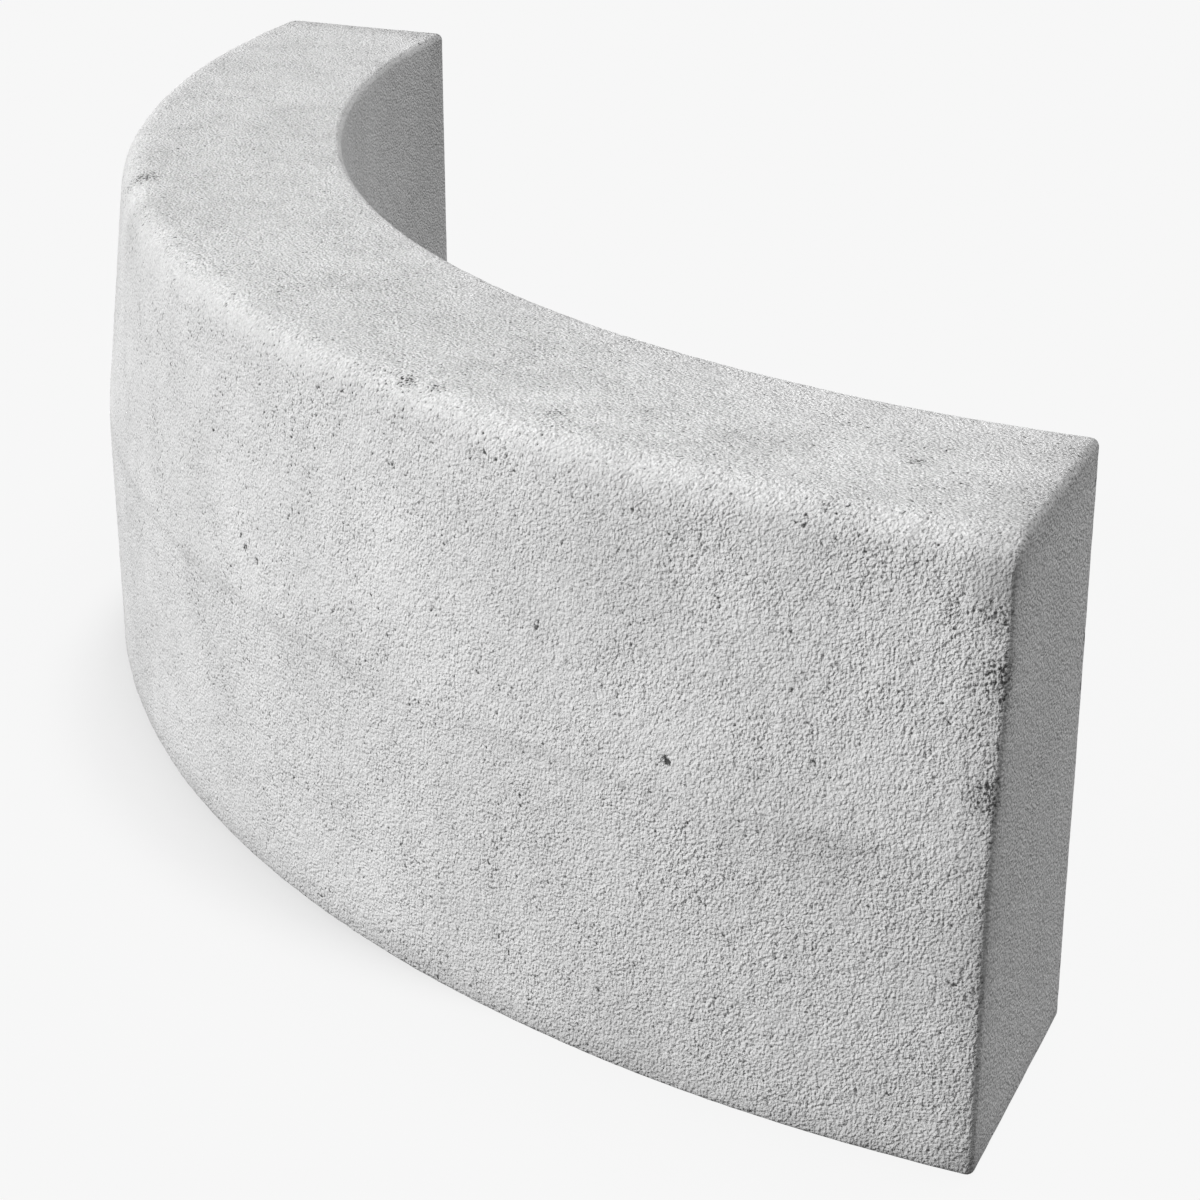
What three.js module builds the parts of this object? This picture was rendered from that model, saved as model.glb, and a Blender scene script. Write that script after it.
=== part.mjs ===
// Half-battered radius kerb stone: one quarter-circle block of dense concrete, precast in a single pour.
//
// The kerb is one section swept round a vertical axis of curvature. Its convex face looks at the road: it
// stands upright from the bed to the knee, then leans back to a rounded nose at the top. The concave back
// and the bed are plain, because paving and haunching concrete hide them. Every mould edge has a small
// round, and at the two butt ends the same round runs all the way about the section, so that it closes in
// ball corners.
//
// Frame: +Z up, the bed at Z = 0, +X along the chord, and the road on the -Y side. The origin is the bottom
// centre of the bounding box, so the axis of curvature stands behind the block, at +Y.

import * as THREE from "three";

// Driving dimensions, in millimetres and degrees
const HEIGHT = 300; // bed to top
const BASE_WIDTH = 150; // road face to back face, at the bed
const OUTER_RADIUS = 780; // of the upright road face, in plan
const SWEEP = 90; // between the two end planes
const UPRIGHT_HEIGHT = 150; // bed to knee
const BATTER = 18; // how far the road face leans back between the knee and the top
const NOSE_RADIUS = 18; // round between the battered face and the top
const KNEE_RADIUS = 150; // easing where the upright face turns into the battered one
const MOULD_EDGE_RADIUS = 5; // round on the back edge of the top and on both edges of the bed
const END_ARRIS_RADIUS = 4.5; // round about each butt end, under MOULD_EDGE_RADIUS so the corners stay balls

// How finely the round forms are faceted
const DEGREES_PER_BAY = 1.5; // along the sweep
const DEGREES_PER_EDGE_FACET = 15; // round the section's corners
const KNEE_FACETS = 4;
const ARRIS_FACETS = 5;

const CONCRETE = new THREE.MeshStandardMaterial({ color: 0xc6c6c4, roughness: 0.92, metalness: 0 });

// The section with sharp corners: x is the radius from the axis of curvature and y the height above the bed.
// It runs anticlockwise, from the foot of the back face.
const backRadius = OUTER_RADIUS - BASE_WIDTH;
const sharpSection = [
  { corner: new THREE.Vector2(backRadius, 0), radius: MOULD_EDGE_RADIUS },
  { corner: new THREE.Vector2(OUTER_RADIUS, 0), radius: MOULD_EDGE_RADIUS },
  { corner: new THREE.Vector2(OUTER_RADIUS, UPRIGHT_HEIGHT), radius: KNEE_RADIUS, facets: KNEE_FACETS },
  { corner: new THREE.Vector2(OUTER_RADIUS - BATTER, HEIGHT), radius: NOSE_RADIUS },
  { corner: new THREE.Vector2(backRadius, HEIGHT), radius: MOULD_EDGE_RADIUS },
];

// Each corner becomes an arc that touches both of its edges. A section that is drawn in by some inset keeps
// the same arc centres and has smaller radii, so each point is held as a centre, a radius and a normal.
function roundedSection(corners) {
  return corners.flatMap(({ corner, radius, facets }, index) => {
    const before = corners.at(index - 1).corner;
    const after = corners[(index + 1) % corners.length].corner;
    const normalIn = outwardNormal(before, corner);
    const normalOut = outwardNormal(corner, after);
    const turn = normalIn.angleTo(normalOut);
    const towardsCentre = normalIn.clone().add(normalOut).normalize();
    const centre = corner.clone().addScaledVector(towardsCentre, -radius / Math.cos(turn / 2));
    const steps = facets ?? Math.ceil(THREE.MathUtils.radToDeg(turn) / DEGREES_PER_EDGE_FACET);
    return Array.from({ length: steps + 1 }, (_, step) => {
      const normal = normalIn.clone().rotateAround(new THREE.Vector2(), (turn * step) / steps);
      return { centre, radius, normal };
    });
  });
}

function outwardNormal(from, to) {
  const along = to.clone().sub(from).normalize();
  return new THREE.Vector2(along.y, -along.x);
}

// The stations of the sweep. Near an end the section stands at some distance from the end plane and is drawn
// in by an inset, which together trace the arris round. Between the arrises the share goes evenly from 0 to 1.
function sweepStations() {
  const arris = Array.from({ length: ARRIS_FACETS + 1 }, (_, step) => {
    const turn = (Math.PI / 2) * (step / ARRIS_FACETS);
    return {
      distance: END_ARRIS_RADIUS * (1 - Math.cos(turn)),
      inset: END_ARRIS_RADIUS * (1 - Math.sin(turn)),
    };
  });
  const bays = Math.ceil(SWEEP / DEGREES_PER_BAY);
  const between = Array.from({ length: bays - 1 }, (_, bay) => ({
    distance: END_ARRIS_RADIUS,
    inset: 0,
    share: (bay + 1) / bays,
  }));
  const leftEnd = arris.map((station) => ({ ...station, share: 0 }));
  const rightEnd = arris.map((station) => ({ ...station, share: 1 })).reverse();
  return [...leftEnd, ...between, ...rightEnd];
}

// A point of the section, carried to its place on the sweep. A plane that is parallel to the end plane meets
// the circle of that radius a little way round from the end.
function placed({ centre, radius, normal }, { distance, inset, share }) {
  const point = centre.clone().addScaledVector(normal, radius - inset);
  const lastAngle = THREE.MathUtils.degToRad(SWEEP / 2) - Math.asin(distance / point.x);
  const angle = THREE.MathUtils.lerp(-lastAngle, lastAngle, share);
  return new THREE.Vector3(point.x * Math.sin(angle), -point.x * Math.cos(angle), point.y);
}

// Skins a row of closed sections that all have the same number of points, and caps the first and the last.
function loft(sections, capOutline) {
  const count = sections[0].length;
  const indices = [];
  for (let row = 0; row + 1 < sections.length; row += 1) {
    for (let point = 0; point < count; point += 1) {
      const next = (point + 1) % count;
      const here = row * count;
      const there = here + count;
      indices.push(here + point, there + next, here + next);
      indices.push(here + point, there + point, there + next);
    }
  }
  const lastRow = (sections.length - 1) * count;
  for (const [a, b, c] of THREE.ShapeUtils.triangulateShape(capOutline, [])) {
    indices.push(a, b, c);
    indices.push(lastRow + a, lastRow + c, lastRow + b);
  }
  const geometry = new THREE.BufferGeometry().setFromPoints(sections.flat());
  geometry.setIndex(indices);
  return geometry;
}

function kerbBlock() {
  const section = roundedSection(sharpSection);
  const sections = sweepStations().map((station) => section.map((point) => placed(point, station)));
  const endOutline = section.map(({ centre, radius, normal }) =>
    centre.clone().addScaledVector(normal, radius - END_ARRIS_RADIUS),
  );
  const geometry = loft(sections, endOutline);
  geometry.computeBoundingBox();
  const { min, max } = geometry.boundingBox;
  geometry.translate(-(min.x + max.x) / 2, -(min.y + max.y) / 2, -min.z);
  geometry.computeVertexNormals();
  const mesh = new THREE.Mesh(geometry, CONCRETE);
  mesh.name = "kerb_stone";
  return mesh;
}

const kerb = new THREE.Group();
kerb.name = "radius_kerb";
kerb.add(kerbBlock());

export default kerb;
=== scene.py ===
import random
from math import asin, atan2, ceil, cos, degrees, hypot, pi, radians, sin

import bmesh
import bpy
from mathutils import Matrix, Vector, noise
from mathutils.geometry import delaunay_2d_cdt
from mathutils.kdtree import KDTree


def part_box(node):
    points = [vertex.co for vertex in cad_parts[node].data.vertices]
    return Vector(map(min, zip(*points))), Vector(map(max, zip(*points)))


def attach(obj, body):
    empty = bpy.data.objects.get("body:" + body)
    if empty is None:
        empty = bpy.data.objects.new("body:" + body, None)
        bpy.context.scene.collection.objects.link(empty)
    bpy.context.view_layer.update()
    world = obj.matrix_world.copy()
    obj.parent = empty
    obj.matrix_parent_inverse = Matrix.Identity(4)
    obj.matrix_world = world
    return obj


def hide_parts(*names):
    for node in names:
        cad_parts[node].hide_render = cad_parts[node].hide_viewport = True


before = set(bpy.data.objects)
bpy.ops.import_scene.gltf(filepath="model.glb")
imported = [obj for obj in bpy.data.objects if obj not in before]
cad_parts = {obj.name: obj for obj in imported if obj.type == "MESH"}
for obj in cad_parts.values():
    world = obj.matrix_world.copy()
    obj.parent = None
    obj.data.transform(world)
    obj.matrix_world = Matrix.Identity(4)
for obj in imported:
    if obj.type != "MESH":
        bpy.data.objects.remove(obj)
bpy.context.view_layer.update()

# Camera. A long lens at table height stands beyond the right butt end and looks down along the curve, so
# that it sees the road face, the top, the near butt end and a little of the hollow back at the far end.
camera = bpy.data.objects.new("camera", bpy.data.cameras.new("camera"))
bpy.context.scene.collection.objects.link(camera)
bpy.context.scene.camera = camera
CAMERA_PLACE = (1.4636, -0.4827, 0.7360)
CAMERA_TILT = radians(23.485)  # below the horizon
CAMERA_HEADING = radians(68.047)  # anticlockwise from +Y
SENSOR_WIDTH = 36  # millimetres, as a camera takes them
FOCAL_LENGTH = 85.497  # millimetres too
camera.location = CAMERA_PLACE
camera.rotation_euler = (pi / 2 - CAMERA_TILT, 0, CAMERA_HEADING)
camera.data.sensor_width = SENSOR_WIDTH
camera.data.lens = FOCAL_LENGTH

# Kerb stone. One quarter-circle block of dense concrete, cast in a steel mould and vibrated: its skin is
# cement paste over fine sand, pitted by blowholes, a little worn along the nose and the near arris.
MM = 0.001
kerb_low, kerb_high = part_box("kerb_stone")
HEIGHT = kerb_high.z - kerb_low.z
BASE_WIDTH = 150 * MM
OUTER_RADIUS = 780 * MM
SWEEP = radians(90)
UPRIGHT_HEIGHT = 150 * MM
BATTER = 18 * MM
NOSE_RADIUS = 18 * MM
KNEE_RADIUS = 150 * MM
MOULD_EDGE_RADIUS = 5 * MM
END_ARRIS_RADIUS = 4.5 * MM
back_radius = OUTER_RADIUS - BASE_WIDTH
axis_y = kerb_low.y + OUTER_RADIUS  # the vertical axis of curvature stands at x = 0

# Spacing of the mesh: finest where the road face takes the light, coarse on the hidden bed
SWEEP_PITCH = 3.4 * MM
ROAD_PITCH = 3.3 * MM
TOP_PITCH = 3.6 * MM
BACK_PITCH = 6 * MM
BED_PITCH = 9 * MM
END_PITCH = 4.5 * MM
ARRIS_RINGS = 5
SAME_POINT = 1e-7  # metres; points nearer than this count as one


def outward_normal(start, end):
    along = (end - start).normalized()
    return Vector((along.y, -along.x))


# The section as points with outward normals: x is the distance from the axis, y the height above the bed.
# Each row is a sharp corner, its round, the steps round it and the spacing of points on the edge after it.
section_corners = [
    (Vector((back_radius, 0)), MOULD_EDGE_RADIUS, 4, BED_PITCH),
    (Vector((OUTER_RADIUS, 0)), MOULD_EDGE_RADIUS, 5, ROAD_PITCH),
    (Vector((OUTER_RADIUS, UPRIGHT_HEIGHT)), KNEE_RADIUS, 12, ROAD_PITCH),
    (Vector((OUTER_RADIUS - BATTER, HEIGHT)), NOSE_RADIUS, 12, TOP_PITCH),
    (Vector((back_radius, HEIGHT)), MOULD_EDGE_RADIUS, 5, BACK_PITCH),
]


def rounded_section(corners):
    arcs = []
    for index, (corner, radius, steps, _) in enumerate(corners):
        before = corners[index - 1][0]
        after = corners[(index + 1) % len(corners)][0]
        first = outward_normal(before, corner)
        last = outward_normal(corner, after)
        turn = first.angle(last)
        centre = corner - (first + last).normalized() * radius / cos(turn / 2)
        normals = [first.slerp(last, step / steps) for step in range(steps + 1)]
        arcs.append([(centre + normal * radius, normal) for normal in normals])
    points = []
    for (_, _, _, pitch), arc, next_arc in zip(corners, arcs, arcs[1:] + arcs[:1]):
        points += arc
        start, normal = arc[-1]
        end, _ = next_arc[0]
        steps = ceil((end - start).length / pitch)
        points += [(start.lerp(end, step / steps), normal) for step in range(1, steps)]
    return points


# The stations of the sweep, each with its distance from the nearer end plane, how far the section is drawn
# in there, and its share of the way round.
def sweep_stations():
    arris = []
    for ring in range(ARRIS_RINGS + 1):
        turn = pi / 2 * ring / ARRIS_RINGS
        arris.append((END_ARRIS_RADIUS * (1 - cos(turn)), END_ARRIS_RADIUS * (1 - sin(turn))))
    bays = ceil(OUTER_RADIUS * SWEEP / SWEEP_PITCH)
    between = [(END_ARRIS_RADIUS, 0, bay / bays) for bay in range(1, bays)]
    left_end = [(distance, inset, 0) for distance, inset in arris]
    right_end = [(distance, inset, 1) for distance, inset in reversed(arris)]
    return left_end + between + right_end


def placed(point, distance, share):
    """A point of the section, set at a station of the sweep."""
    last_angle = SWEEP / 2 - asin(distance / point.x)
    angle = last_angle * (2 * share - 1)
    return Vector((point.x * sin(angle), axis_y - point.x * cos(angle), point.y))


kerb_mesh = bmesh.new()
section = rounded_section(section_corners)
rings = []
for distance, inset, share in sweep_stations():
    drawn_in = [point - normal * inset for point, normal in section]
    rings.append([kerb_mesh.verts.new(placed(point, distance, share)) for point in drawn_in])
for ring, next_ring in zip(rings, rings[1:]):
    for here in range(len(section)):
        beyond = (here + 1) % len(section)
        kerb_mesh.faces.new((ring[here], next_ring[here], next_ring[beyond], ring[beyond]))


# A butt end is filled with a staggered grid of points inside the outline of its last ring.
def fill_end(ring, share, clockwise):
    outline = [point - normal * END_ARRIS_RADIUS for point, normal in section]
    edges = [(here, (here + 1) % len(outline)) for here in range(len(outline))]
    row_pitch = END_PITCH * sin(radians(60))
    inner = []
    for row in range(1, int(HEIGHT / row_pitch)):
        stagger = END_PITCH / 2 * (row % 2)
        for column in range(1, int(BASE_WIDTH / END_PITCH)):
            inner.append(Vector((back_radius + column * END_PITCH + stagger, row * row_pitch)))
    clear = [p for p in inner if min((p - q).length for q in outline) > END_PITCH / 2]
    corners, _, faces, sources, _, _ = delaunay_2d_cdt(outline + clear, edges, [], 1, SAME_POINT)
    verts = {}
    for index in sorted({index for face in faces for index in face}):
        source = sources[index]
        if source and source[0] < len(ring):
            verts[index] = ring[source[0]]
        else:
            verts[index] = kerb_mesh.verts.new(placed(corners[index], 0, share))
    for face in faces:
        turned = face if clockwise else reversed(face)
        kerb_mesh.faces.new([verts[index] for index in turned])


fill_end(rings[0], 0, True)
fill_end(rings[-1], 1, False)


# Blowholes. Air bubbles that lay against the mould left shallow ragged hollows: the larger ones stand where
# the real kerb has them, and the rest are strewn at random. Each has a place and a width.
def on_road_face(degrees_round, height):
    """A point of the road face. Degrees are counted from the middle of the sweep towards the right end."""
    lean = BATTER * max(0, height - UPRIGHT_HEIGHT) / (HEIGHT - UPRIGHT_HEIGHT)
    return placed(Vector((OUTER_RADIUS - lean, height)), 0, 0.5 + radians(degrees_round) / SWEEP)


def on_top(degrees_round, radius):
    return placed(Vector((radius, HEIGHT)), 0, 0.5 + radians(degrees_round) / SWEEP)


# Degrees round, height and width in millimetres
ROAD_BLOWHOLES = [
    (33.5, 168, 6.6),
    (20.3, 261, 4.4),
    (24.2, 279, 3.2),
    (24.9, 283, 2.8),
    (10.6, 186, 3.4),
    (11.0, 181, 4.6),
    (11.9, 177, 5.4),
    (7.6, 229, 3.0),
    (8.9, 231, 2.8),
    (14.0, 252, 3.2),
    (-8.3, 262, 4.0),
    (-2.9, 280, 3.2),
    (5.8, 282, 2.8),
    (7.3, 88, 4.2),
    (27.8, 211, 4.2),
    (29.3, 200, 3.0),
    (25.3, 179, 3.4),
    (16.0, 156, 3.6),
    (13.8, 134, 2.8),
    (16.4, 60, 3.8),
    (15.8, 50, 2.8),
    (17.4, 37, 3.2),
    (22.2, 64, 3.4),
    (31.0, 257, 3.6),
    (31.4, 277, 3.0),
    (37.9, 216, 3.0),
    (42.9, 191, 3.4),
    (44.0, 172, 3.4),
]
STREWN_BLOWHOLES = 26
STREWING_SEED = 7
SMALLEST_STREWN = 1.6 * MM
WIDEST_STREWN = 3.4 * MM
BED_FACING = -0.5  # a face whose normal points further down than this lies on the bed
DEPTH_SHARE = 0.2  # of a blowhole's width
RAGGEDNESS = 0.45  # of a blowhole's rim
RIM_WAVES = 1.7  # across a blowhole's width
PIT_FILL = 0.6  # below 1, the dark of a pit reaches nearer to its rim
FINE_MARGIN = 1 * MM  # the finer mesh reaches this far past a blowhole
FINE_CUTS = 3  # in each edge of the finer mesh

blowholes = [(on_road_face(turn, height * MM), width * MM) for turn, height, width in ROAD_BLOWHOLES]
strewer = random.Random(STREWING_SEED)
kerb_mesh.faces.ensure_lookup_table()
strewable = [face for face in kerb_mesh.faces if face.normal.z > BED_FACING]
face_areas = [face.calc_area() for face in strewable]
for face in strewer.choices(strewable, face_areas, k=STREWN_BLOWHOLES):
    width = SMALLEST_STREWN + (WIDEST_STREWN - SMALLEST_STREWN) * strewer.random() ** 2
    blowholes.append((face.calc_center_median(), width))

# Broken skin. Where the paste stuck to the mould, patches of it came away and left dark pits between the
# grains. Each patch has a place, a reach and a strength.
broken_patches = [
    (on_road_face(44.4, 268 * MM), 14 * MM, 0.8),
    (on_road_face(44.8, 240 * MM), 13 * MM, 0.75),
    (on_road_face(42.9, 265 * MM), 7 * MM, 0.8),
    (on_road_face(44.5, 187 * MM), 13 * MM, 0.85),
    (on_road_face(44.7, 100 * MM), 16 * MM, 0.3),
    (on_road_face(24.6, 281 * MM), 8 * MM, 0.7),
    (on_road_face(28.2, 208 * MM), 8 * MM, 0.4),
    (on_road_face(33.5, 168 * MM), 6 * MM, 0.3),
    (on_top(38.5, OUTER_RADIUS - BATTER - 6 * MM), 9 * MM, 0.5),
    (on_top(19.9, OUTER_RADIUS - BATTER - 10 * MM), 8 * MM, 1.1),
    (on_top(21.3, OUTER_RADIUS - BATTER - 12 * MM), 7 * MM, 0.8),
    (on_top(-11.2, OUTER_RADIUS - BATTER - 11 * MM), 16 * MM, 1.0),
    (on_top(26.4, OUTER_RADIUS - BATTER - 25 * MM), 7 * MM, 0.7),
    (on_top(28.2, OUTER_RADIUS - BATTER - 22 * MM), 6 * MM, 0.6),
    (on_top(39.5, 696 * MM), 8 * MM, 0.9),
    (on_top(35.6, 666 * MM), 6 * MM, 0.5),
]

# Soft stains, where the paste dried a shade darker, and paler places: degrees round, height and reach in
# millimetres, and strength
ROAD_STAINS = [
    (29.8, 240, 80, 0.08),
    (38.8, 150, 50, 0.09),
    (31.5, 22, 45, 0.09),
    (41.5, 25, 40, 0.07),
    (-11, 95, 75, 0.11),
    (-11, 25, 60, 0.06),
    (10.6, 270, 30, 0.05),
    (11, 33, 45, 0.04),
    (-9.5, 135, 25, 0.05),
    (-2, 242, 40, -0.04),
    (19, 228, 75, -0.07),
    (2.9, 280, 45, -0.07),
    (25, 280, 35, -0.05),
    (21.5, 110, 40, -0.05),
    (25.2, 27, 30, -0.05),
    (14, 85, 45, -0.03),
]
TOP_STAINS = [
    (25.5, 694, 40, -0.05),
    (-12.5, 660, 50, 0.04),
    (-22, 655, 45, 0.04),
    (36, 675, 30, -0.04),
]
soft_stains = []
for turn, height, reach, strength in ROAD_STAINS:
    soft_stains.append((on_road_face(turn, height * MM), reach * MM, strength))
for turn, radius, reach, strength in TOP_STAINS:
    soft_stains.append((on_top(turn, radius * MM), reach * MM, strength))

# Round each blowhole the mesh is cut finer, to carry its rim
near_blowhole = set()
kerb_mesh.verts.ensure_lookup_table()
vert_tree = KDTree(len(kerb_mesh.verts))
for index, vert in enumerate(kerb_mesh.verts):
    vert_tree.insert(vert.co, index)
vert_tree.balance()
for centre, width in blowholes:
    reach = width / 2 + FINE_MARGIN
    for _, index, _ in vert_tree.find_range(centre, reach + SWEEP_PITCH / 2):
        near_blowhole.add(kerb_mesh.verts[index])
fine_edges = {edge for vert in near_blowhole for edge in vert.link_edges}
bmesh.ops.subdivide_edges(kerb_mesh, edges=list(fine_edges), cuts=FINE_CUTS, use_grid_fill=True)

# Relief of the skin. Every change goes inwards, so the kerb never outgrows its solid: slow swells from the
# mould's panels, ripples, lumps and upright flutes of paste, the line that the mould's joint left at the
# knee, the worn nose, arrises and corner, and the blowholes.
SWELL_WIDTH = 90 * MM
SWELL_DEPTH = 0.3 * MM
RIPPLE_WIDTH = 22 * MM
RIPPLE_DEPTH = 0.16 * MM
LUMP_WIDTH = 7.5 * MM
LUMP_DEPTH = 0.48 * MM
FLUTE_WIDTH = 9 * MM
FLUTE_DEPTH = 0.3 * MM
FLUTE_STRETCH = 0.1  # flutes run this much slower up the face than round it
LIVELINESS = {"road": 1, "top": 0.6, "back": 0.3, "end": 0.4, "bed": 0.3}  # of the lumps and flutes
JOINT_HEIGHT = UPRIGHT_HEIGHT + 1 * MM
JOINT_HALF_WIDTH = 7 * MM
JOINT_DEPTH = 0.24 * MM
JOINT_STRETCHES = [(-50, 20.8), (23, 33.5), (36.7, 43.3)]  # degrees round, where the joint shows
JOINT_FADE = 1.5  # degrees at both ends of a stretch
JOINT_PATCH_WIDTH = 30 * MM
JOINT_PATCHINESS = 0.4
NOSE_WOBBLE_WIDTH = 16 * MM
NOSE_WOBBLE_DEPTH = 0.5 * MM
worn_corner = on_road_face(45, 279 * MM)  # the right end of the nose
CORNER_REACH = 26 * MM
CORNER_DEPTH = 1.8 * MM
WEAR_WIDTH = 7 * MM
WEAR_REACH = 6 * MM
WEAR_DEPTH = 0.3 * MM

# The character of the skin, kept with the mesh: how coarse it is on each face, how deep it is hollowed and
# how much it is stained and darkened with painted shade at each point, and how strongly it is speckled
COARSENESS = {"road": 1, "top": 1.2, "back": 0.7, "end": 0.74, "bed": 1}
SPECKLE = {"road": 0.2, "top": 0.36, "back": 0.35, "end": 0.32, "bed": 0.3}
FILLED = {"road": 0, "top": 0.12, "back": 0, "end": 0, "bed": 0}  # how high paste stands in the hollows
NOSE_COARSENESS = 1.05
SMOOTHER_FROM = 300 * MM  # along x, the road face grows smoother between here
SMOOTHER_TO = 500 * MM  # and here
RIGHT_COARSENESS = 0.95
CORNER_SMOOTHING = 0.4
BROKEN_COARSENING = 0.4
BLOWHOLE_HOLLOW = 0.95  # the hollows are measured on the scale of the skin's own height
BROKEN_HOLLOW = 0.75
ARRIS_HOLLOW = 0.5
END_REACH = 28 * MM  # the arrises of the butt ends are pitted, and darkened with painted shade and dirt, this far in
END_PATCH_WIDTH = 24 * MM
END_PATCHINESS = 0.6
FOOT_REACH = 18 * MM  # and the foot of every face is darkened with painted shade this far up
FOOT_PATCH_WIDTH = 70 * MM
FOOT_PATCHINESS = 0.5
# Painted shade, with some dirt, darkens the rounded arrises of the butt ends
ARRIS_SHADE_AND_DIRT = 0.26
# Painted shade darkens the foot of every face, where the bed edge turns down towards the floor
FOOT_SHADE = 0.29
JOINT_STAIN = 0.13
BROKEN_STAIN = 0.1
CORNER_STAIN = 0.3
CORNER_STAIN_ON_END = 0.15
TOP_MOTTLE = 0.045
MOTTLE_WIDTH = 30 * MM


def unevenness(place, width, depth, liveliness=1):
    """A depth that varies smoothly about its half, over places of a given width."""
    return depth * (0.5 + 0.5 * liveliness * noise.noise(place / width))


def in_patches(place, width, patchiness):
    """A factor that falls short of 1 by up to the patchiness, in patches of a given width."""
    return 1 - patchiness + unevenness(place, width, patchiness)


def share_between(value, start, end):
    """How far a value has gone from one place to another: 0 before the first and 1 past the second."""
    return min(1, max(0, (value - start) / (end - start)))


def face_distances(place):
    """How far inside each face a point lies: the end planes, the road face, the top, the back and the bed."""
    radius = hypot(place.x, axis_y - place.y)
    turn = atan2(place.x, axis_y - place.y)
    lean = BATTER * max(0, place.z - UPRIGHT_HEIGHT) / (HEIGHT - UPRIGHT_HEIGHT)
    return {
        "end": radius * sin(SWEEP / 2 - abs(turn)),
        "road": OUTER_RADIUS - lean - radius,
        "top": HEIGHT - place.z,
        "back": radius - back_radius,
        "bed": place.z,
    }


def joint_at(place):
    """How clearly the mould's joint shows at a point of the road face."""
    turn = degrees(atan2(place.x, axis_y - place.y))
    shows = 0
    for first, last in JOINT_STRETCHES:
        begun = share_between(turn, first - JOINT_FADE, first + JOINT_FADE)
        ended = share_between(turn, last - JOINT_FADE, last + JOINT_FADE)
        shows = max(shows, begun - ended)
    across = 1 - share_between(abs(place.z - JOINT_HEIGHT), 0, JOINT_HALF_WIDTH)
    return shows * across * in_patches(place, JOINT_PATCH_WIDTH, JOINT_PATCHINESS)


blowhole_tree = KDTree(len(blowholes))
for index, (centre, _) in enumerate(blowholes):
    blowhole_tree.insert(centre, index)
blowhole_tree.balance()
widest_blowhole = max(width for _, width in blowholes)


def blowhole_at(place):
    """How dark a blowhole makes a point, from 0 to 1, and how deep it sinks the skin there."""
    pit = 0
    depth = 0
    for _, index, distance in blowhole_tree.find_range(place, widest_blowhole):
        width = blowholes[index][1]
        ragged_radius = width / 2 * (1 + RAGGEDNESS * noise.noise(place / width * RIM_WAVES))
        inside = max(0, 1 - (distance / ragged_radius) ** 2)
        pit = max(pit, inside**PIT_FILL)
        depth += width * DEPTH_SHARE * inside
    return pit, depth


def broken_at(place):
    """How strongly the skin is broken at a point: 0 outside every patch."""
    broken = 0
    for centre, reach, strength in broken_patches:
        broken = max(broken, strength * (1 - (place - centre).length / reach))
    return broken


kerb_mesh.normal_update()
sunk_places = []
skin = {"coarseness": [], "speckle": [], "hollow": [], "stain_and_shade": []}
for vert in kerb_mesh.verts:
    place = vert.co
    distances = face_distances(place)
    nearest = min(distances, key=distances.get)
    nose = 1 - share_between(max(distances["road"], distances["top"]), 0, NOSE_RADIUS)
    corner = 1 - share_between((place - worn_corner).length, 0, CORNER_REACH)
    wear = 1 - share_between(sorted(distances.values())[1], 0, WEAR_REACH)
    joint = joint_at(place) if nearest == "road" else 0
    pit, pit_depth = blowhole_at(place)
    broken = broken_at(place)

    depth = unevenness(place, SWELL_WIDTH, SWELL_DEPTH)
    depth += unevenness(place, RIPPLE_WIDTH, RIPPLE_DEPTH)
    depth += unevenness(place, LUMP_WIDTH, LUMP_DEPTH, LIVELINESS[nearest])
    flute_place = Vector((place.x, place.y, place.z * FLUTE_STRETCH))
    depth += unevenness(flute_place, FLUTE_WIDTH, FLUTE_DEPTH, LIVELINESS[nearest])
    depth += WEAR_DEPTH * wear * max(0, noise.noise(place / WEAR_WIDTH))
    depth += nose * unevenness(place, NOSE_WOBBLE_WIDTH, NOSE_WOBBLE_DEPTH)
    depth += CORNER_DEPTH * corner**2
    depth += JOINT_DEPTH * joint
    depth += pit_depth
    sunk_places.append(place - vert.normal * depth)

    arris = 1 - share_between(max(distances["end"], min(distances["road"], distances["top"])), 0, END_REACH)
    arris *= in_patches(place, END_PATCH_WIDTH, END_PATCHINESS)
    foot = 1 - share_between(place.z, 0, FOOT_REACH)
    foot *= in_patches(place, FOOT_PATCH_WIDTH, FOOT_PATCHINESS)
    # The hollow darkens blowholes, broken patches and arrises with painted shade and dirt
    hollow = BLOWHOLE_HOLLOW * pit + BROKEN_HOLLOW * broken + ARRIS_HOLLOW * arris**2 - FILLED[nearest]
    coarseness = COARSENESS[nearest]
    if nearest == "road":
        rightward = share_between(place.x, SMOOTHER_FROM, SMOOTHER_TO)
        coarseness *= 1 - (1 - RIGHT_COARSENESS) * rightward
    coarseness += (NOSE_COARSENESS - coarseness) * nose
    coarseness *= (1 + BROKEN_COARSENING * broken) * (1 - CORNER_SMOOTHING * corner)
    # The arris and foot darkening is painted shade, the arris partly dirt too; the rest are stains
    stain_and_shade = ARRIS_SHADE_AND_DIRT * arris + FOOT_SHADE * foot + JOINT_STAIN * joint + BROKEN_STAIN * broken
    for centre, reach, strength in soft_stains:
        stain_and_shade += strength * max(0, 1 - ((place - centre).length / reach) ** 2) ** 2
    stain_and_shade += corner * (CORNER_STAIN_ON_END if nearest == "end" else CORNER_STAIN)
    if nearest == "top":
        stain_and_shade += TOP_MOTTLE * (1 - nose) * noise.noise(place / MOTTLE_WIDTH)
    skin["coarseness"].append(coarseness)
    skin["speckle"].append(SPECKLE[nearest])
    skin["hollow"].append(hollow)
    skin["stain_and_shade"].append(stain_and_shade)
for vert, sunk in zip(kerb_mesh.verts, sunk_places):
    vert.co = sunk

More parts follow.
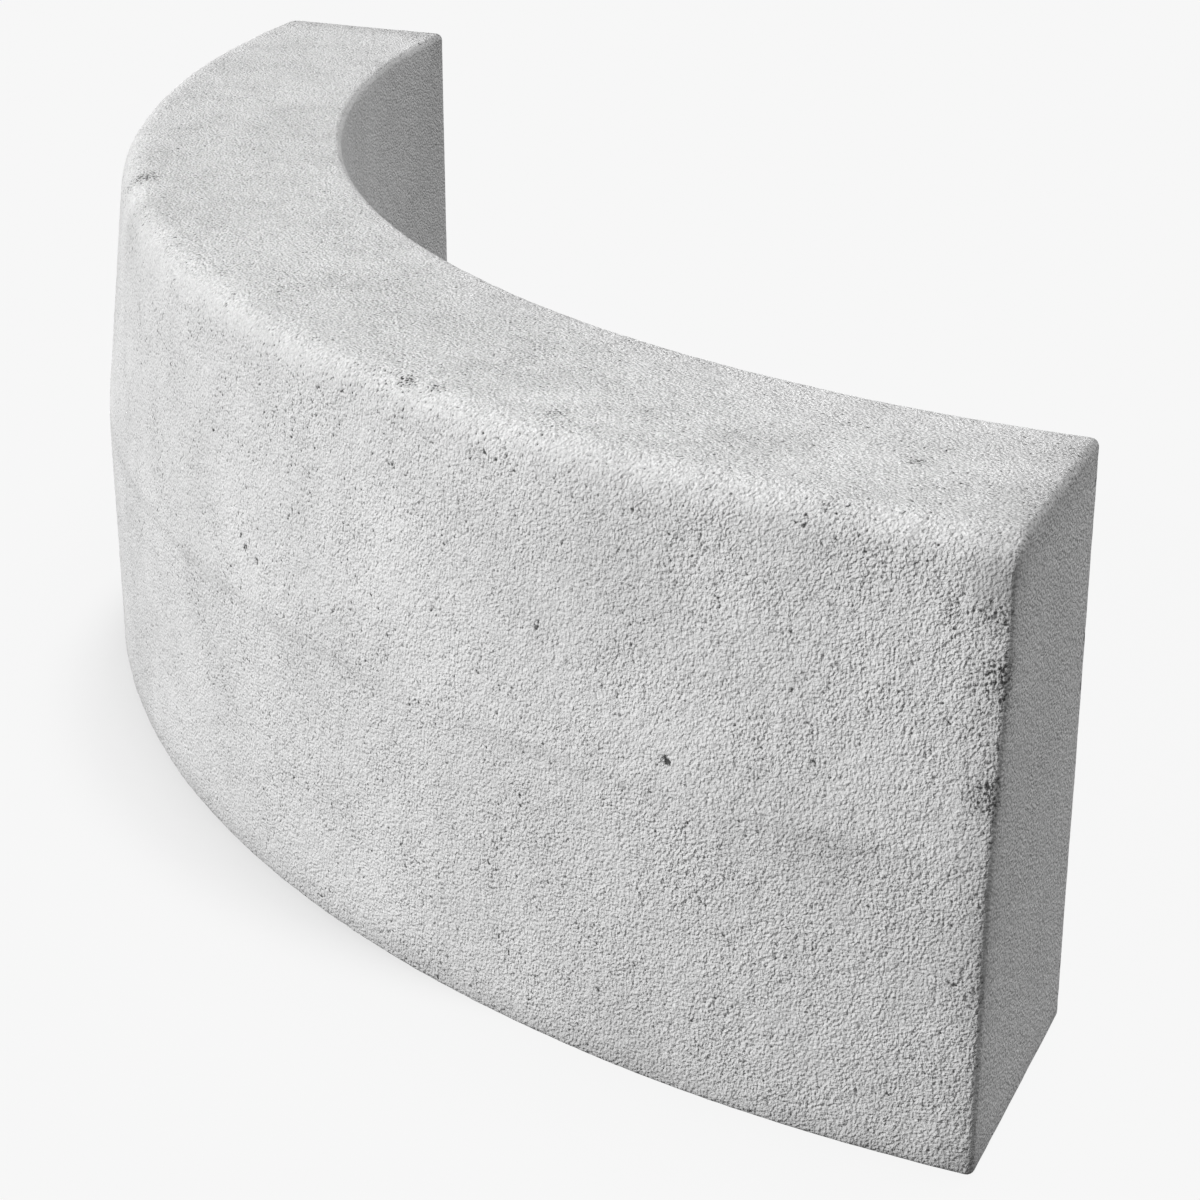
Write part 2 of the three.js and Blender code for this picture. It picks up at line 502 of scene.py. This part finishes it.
kerb_data = bpy.data.meshes.new("kerb_stone_cast")
kerb_mesh.to_mesh(kerb_data)
kerb_mesh.free()
kerb = bpy.data.objects.new("kerb_stone_cast", kerb_data)
bpy.context.scene.collection.objects.link(kerb)
kerb_data.polygons.foreach_set("use_smooth", [True] * len(kerb_data.polygons))
for name, values in skin.items():
    kerb_data.attributes.new(name, "FLOAT", "POINT").data.foreach_set("value", values)


def linear(hex_colour):
    """An sRGB hex colour as linear red, green and blue with full alpha."""
    channels = [int(hex_colour[start : start + 2], 16) / 255 for start in (1, 3, 5)]
    return [c / 12.92 if c <= 0.04045 else ((c + 0.055) / 1.055) ** 2.4 for c in channels] + [1]


def add_node(tree, kind, links=None, **settings):
    """Adds a shader node. A link gives an input its value, or the socket or node whose output feeds it."""
    node = tree.nodes.new("ShaderNode" + kind)
    for name, value in settings.items():
        setattr(node, name, value)
    for name, source in (links or {}).items():
        if isinstance(source, bpy.types.Node):
            source = next(output for output in source.outputs if output.enabled)
        if isinstance(source, bpy.types.NodeSocket):
            tree.links.new(source, node.inputs[name])
        else:
            node.inputs[name].default_value = source
    return node


# Cast concrete, as it comes off a vibrated steel mould: matt and pale grey. Sand grains under the paste make
# a pebbled skin whose deepest hollows are darkened with painted shade and dirt, and cement clouds and streaks
# drift over it.
GRIT_WIDTH = 1.4 * MM  # the finest sand would be too fine to show, so it is drawn this coarse
SAND_WIDTH = 1.9 * MM  # between the middles of the grains that show through the paste
SAND_SHARE = 1  # how much the creases between grains count in the skin's height, beside the grit
CLUMP_WIDTH = 6.5 * MM
CLUMP_SHARE = 0.75  # and how much the broader lumps do
SKIN_RELIEF = 0.56 * MM
PATCH_WIDTH = 38 * MM  # coarser and smoother patches of the skin
PATCH_SWING = 0.14  # of the coarseness
CLOUD_WIDTH = 90 * MM
CLOUD_SWING = 0.075  # of the tone
STREAK_WIDTH = 32 * MM
STREAK_SWING = 0.03  # of the tone
STREAK_STRETCH = 0.12  # streaks run this much slower up the face than round it
SPECKLE_WIDTH = 1.3 * MM  # the real speckle would be too fine to show, so it is drawn this coarse
SHALLOW = -0.79  # the height of the skin below which its hollows darken
DEEP = -1.45  # and where they are darkest
SMOOTHEST = 0.84  # the shader's roughness in the darker clouds
ROUGHEST = 0.95  # and in the paler ones
PASTE = linear("#d6d6d6")
HOLLOW = linear("#404040")  # painted shade and dirt in the bottoms of pits and creases

concrete = bpy.data.materials.new("cast_concrete")
concrete.use_nodes = True
tree = concrete.node_tree
tree.nodes.clear()
place = add_node(tree, "TexCoord").outputs["Object"]
coarseness = add_node(tree, "Attribute", attribute_name="coarseness").outputs["Fac"]
speckle_share = add_node(tree, "Attribute", attribute_name="speckle").outputs["Fac"]
hollow = add_node(tree, "Attribute", attribute_name="hollow").outputs["Fac"]
stain_and_shade = add_node(tree, "Attribute", attribute_name="stain_and_shade").outputs["Fac"]

# The skin's height: grit, creases between rounded sand grains, and the broader lumps they lie in. The skin is
# coarser in some patches than in others.
grit = add_node(
    tree,
    "TexNoise",
    {"Vector": place, "Scale": 1 / GRIT_WIDTH, "Detail": 1, "Roughness": 0.45},
    normalize=False,
)
sand = add_node(tree, "TexVoronoi", {"Vector": place, "Scale": 1 / SAND_WIDTH}).outputs["Distance"]
crease = add_node(tree, "Math", {0: sand, 1: sand}, operation="MULTIPLY")
grain = add_node(tree, "Math", {0: crease, 1: -SAND_SHARE, 2: grit}, operation="MULTIPLY_ADD")
clumps = add_node(
    tree,
    "TexNoise",
    {"Vector": place, "Scale": 1 / CLUMP_WIDTH, "Detail": 1, "Roughness": 0.5},
    normalize=False,
)
height = add_node(tree, "Math", {0: clumps, 1: CLUMP_SHARE, 2: grain}, operation="MULTIPLY_ADD")
patches = add_node(
    tree, "TexNoise", {"Vector": place, "Scale": 1 / PATCH_WIDTH, "Detail": 2, "Roughness": 0.6}
)
patchy = add_node(
    tree,
    "MapRange",
    {
        "Value": patches,
        "From Min": 0.35,
        "From Max": 0.65,
        "To Min": 1 - PATCH_SWING,
        "To Max": 1 + PATCH_SWING,
    },
)
roughness = add_node(tree, "Math", {0: patchy, 1: coarseness}, operation="MULTIPLY")
relief = add_node(tree, "Math", {0: roughness, 1: SKIN_RELIEF}, operation="MULTIPLY")
bump = add_node(tree, "Bump", {"Strength": 1.0, "Distance": relief, "Height": height})

# The deeper a point lies, the darker it is: painted shade and dirt in the creases and pits
rough_height = add_node(tree, "Math", {0: grain, 1: roughness}, operation="MULTIPLY")
sunk = add_node(tree, "Math", {0: rough_height, 1: hollow}, operation="SUBTRACT")
dark = add_node(tree, "MapRange", {"Value": sunk, "From Min": SHALLOW, "From Max": DEEP})

# The tone of the paste: cement clouds, streaks that ran down the mould, fine speckle, and stains with painted
# shade along the arrises and the foot
clouds = add_node(
    tree, "TexNoise", {"Vector": place, "Scale": 1 / CLOUD_WIDTH, "Detail": 4, "Roughness": 0.7}
)
cloudy = add_node(
    tree,
    "MapRange",
    {
        "Value": clouds,
        "From Min": 0.3,
        "From Max": 0.7,
        "To Min": 1 - CLOUD_SWING,
        "To Max": 1 + CLOUD_SWING,
    },
)
flattened = add_node(tree, "VectorMath", {0: place, 1: (1, 1, STREAK_STRETCH)}, operation="MULTIPLY")
streaks = add_node(tree, "TexNoise", {"Vector": flattened, "Scale": 1 / STREAK_WIDTH, "Detail": 2})
streaky = add_node(
    tree,
    "MapRange",
    {
        "Value": streaks,
        "From Min": 0.3,
        "From Max": 0.7,
        "To Min": -STREAK_SWING,
        "To Max": STREAK_SWING,
    },
)
speckle = add_node(
    tree, "TexNoise", {"Vector": place, "Scale": 1 / SPECKLE_WIDTH, "Detail": 0}, normalize=False
)
drift = add_node(tree, "Math", {0: cloudy, 1: streaky}, operation="ADD")
speckled = add_node(tree, "Math", {0: speckle, 1: speckle_share, 2: drift}, operation="MULTIPLY_ADD")
tone = add_node(tree, "Math", {0: speckled, 1: stain_and_shade}, operation="SUBTRACT")
toned = add_node(tree, "HueSaturation", {"Color": PASTE, "Value": tone})

# Inputs 6 and 7 of a Mix node are its two colours
colour = add_node(tree, "Mix", {"Factor": dark, 6: toned, 7: HOLLOW}, data_type="RGBA")
matt = add_node(
    tree,
    "MapRange",
    {
        "Value": cloudy,
        "From Min": 1 - CLOUD_SWING,
        "From Max": 1 + CLOUD_SWING,
        "To Min": SMOOTHEST,
        "To Max": ROUGHEST,
    },
)
shader = add_node(tree, "BsdfPrincipled", {"Base Color": colour, "Roughness": matt, "Normal": bump})
add_node(tree, "OutputMaterial", {"Surface": shader})
kerb_data.materials.append(concrete)

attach(kerb, "root")
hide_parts("kerb_stone")

# Studio floor. A sheet of pale paper that runs past the view on every side. Seen directly it is mostly
# evenly bright, and the rest of its tone comes from the light that falls on it, so it keeps the shadow.
FLOOR_SIZE = 40  # metres
PAPER = linear("#f7f7f7")
WHITE = linear("#ffffff")
BOUNCE = linear("#6c6c6c")  # what the floor throws back at the kerb
OPEN_FLOOR_LIGHT = 1.2  # how strongly the room and the high lamp light the floor where nothing shades it
FLOOR_SHARE = 0.16  # of its tone comes from its light, in the hollow of the kerb and next to the road face
FLOOR_SHARE_FAR = 0.12  # of that share is left away from there
SHADOW_MIDDLE = (18 * MM, kerb_low.y + 351 * MM, 0)
SHADE_FADES_FROM = 375 * MM  # from that middle
SHADE_FADES_TO = 430 * MM
half = FLOOR_SIZE / 2
floor_data = bpy.data.meshes.new("floor")
floor_corners = [(-half, -half, 0), (half, -half, 0), (half, half, 0), (-half, half, 0)]
floor_data.from_pydata(floor_corners, [], [(0, 1, 2, 3)])
floor = bpy.data.objects.new("floor", floor_data)
bpy.context.scene.collection.objects.link(floor)

paper = bpy.data.materials.new("floor_paper")
paper.use_nodes = True
tree = paper.node_tree
tree.nodes.clear()


def seen_directly(tree):
    """1 for a ray from the camera, or one that reaches it by a mirror or glass, and 0 for any other."""
    path = add_node(tree, "LightPath").outputs
    mirrored = add_node(
        tree, "Math", {0: path["Is Camera Ray"], 1: path["Is Glossy Ray"]}, operation="MAXIMUM"
    )
    return add_node(tree, "Math", {0: mirrored, 1: path["Is Transmission Ray"]}, operation="MAXIMUM")


position = add_node(tree, "NewGeometry").outputs["Position"]
from_middle = add_node(tree, "VectorMath", {0: position, 1: SHADOW_MIDDLE}, operation="DISTANCE")
share = add_node(
    tree,
    "MapRange",
    {
        "Value": from_middle,
        "From Min": SHADE_FADES_FROM,
        "From Max": SHADE_FADES_TO,
        "To Min": FLOOR_SHARE,
        "To Max": FLOOR_SHARE * FLOOR_SHARE_FAR,
    },
    interpolation_type="SMOOTHSTEP",
)
glow_strength = add_node(
    tree, "Math", {0: share, 1: -OPEN_FLOOR_LIGHT, 2: PAPER[0]}, operation="MULTIPLY_ADD"
)
bounced = add_node(tree, "BsdfDiffuse", {"Color": BOUNCE})
lit = add_node(tree, "BsdfDiffuse", {"Color": share})
glow = add_node(tree, "Emission", {"Color": WHITE, "Strength": glow_strength})
shown = add_node(tree, "AddShader", {0: lit, 1: glow})
either = add_node(tree, "MixShader", {"Fac": seen_directly(tree), 1: bounced, 2: shown})
add_node(tree, "OutputMaterial", {"Surface": either})
floor_data.materials.append(paper)

# Lights. In an even pale room a broad low lamp stands in front of the road face and a weaker, higher one
# behind the kerb, and both light the kerb alone. A high lamp lights the floor alone, so that the shadow on
# it is short and soft.
ROOM_LIGHT = 0.186
world = bpy.data.worlds.new("studio")
bpy.context.scene.world = world
world.use_nodes = True
tree = world.node_tree
tree.nodes.clear()
room = add_node(tree, "Background", {"Color": WHITE, "Strength": ROOM_LIGHT})
backdrop = add_node(tree, "Background", {"Color": PAPER, "Strength": 1})
either = add_node(tree, "MixShader", {"Fac": seen_directly(tree), 1: room, 2: backdrop})
add_node(tree, "OutputWorld", {"Surface": either})


def soft_lamp(name, strength, azimuth, elevation, breadth, lit):
    """A far, broad lamp that lights one thing. Its angles are in degrees: azimuth 0 stands in front of the
    road face and 90 beyond the right butt end, and the breadth is how wide the lamp looks from the kerb."""
    lamp = bpy.data.objects.new(name, bpy.data.lights.new(name, "SUN"))
    bpy.context.scene.collection.objects.link(lamp)
    lamp.data.angle = radians(breadth)
    lamp.data.energy = strength * pi
    level = cos(radians(elevation))
    turn = radians(azimuth)
    away = Vector((sin(turn) * level, -cos(turn) * level, sin(radians(elevation))))
    lamp.rotation_euler = away.to_track_quat("Z", "Y").to_euler()
    lit_things = bpy.data.collections.new("lit_by_" + name)
    lit_things.objects.link(lit)
    lamp.light_linking.receiver_collection = lit_things


soft_lamp("front_lamp", strength=1.05, azimuth=-8, elevation=25, breadth=30, lit=kerb)
soft_lamp("back_lamp", strength=0.52, azimuth=180, elevation=60, breadth=30, lit=kerb)
soft_lamp("high_lamp", strength=1, azimuth=183, elevation=79, breadth=24, lit=floor)

scene = bpy.context.scene
scene.view_settings.view_transform = "Standard"
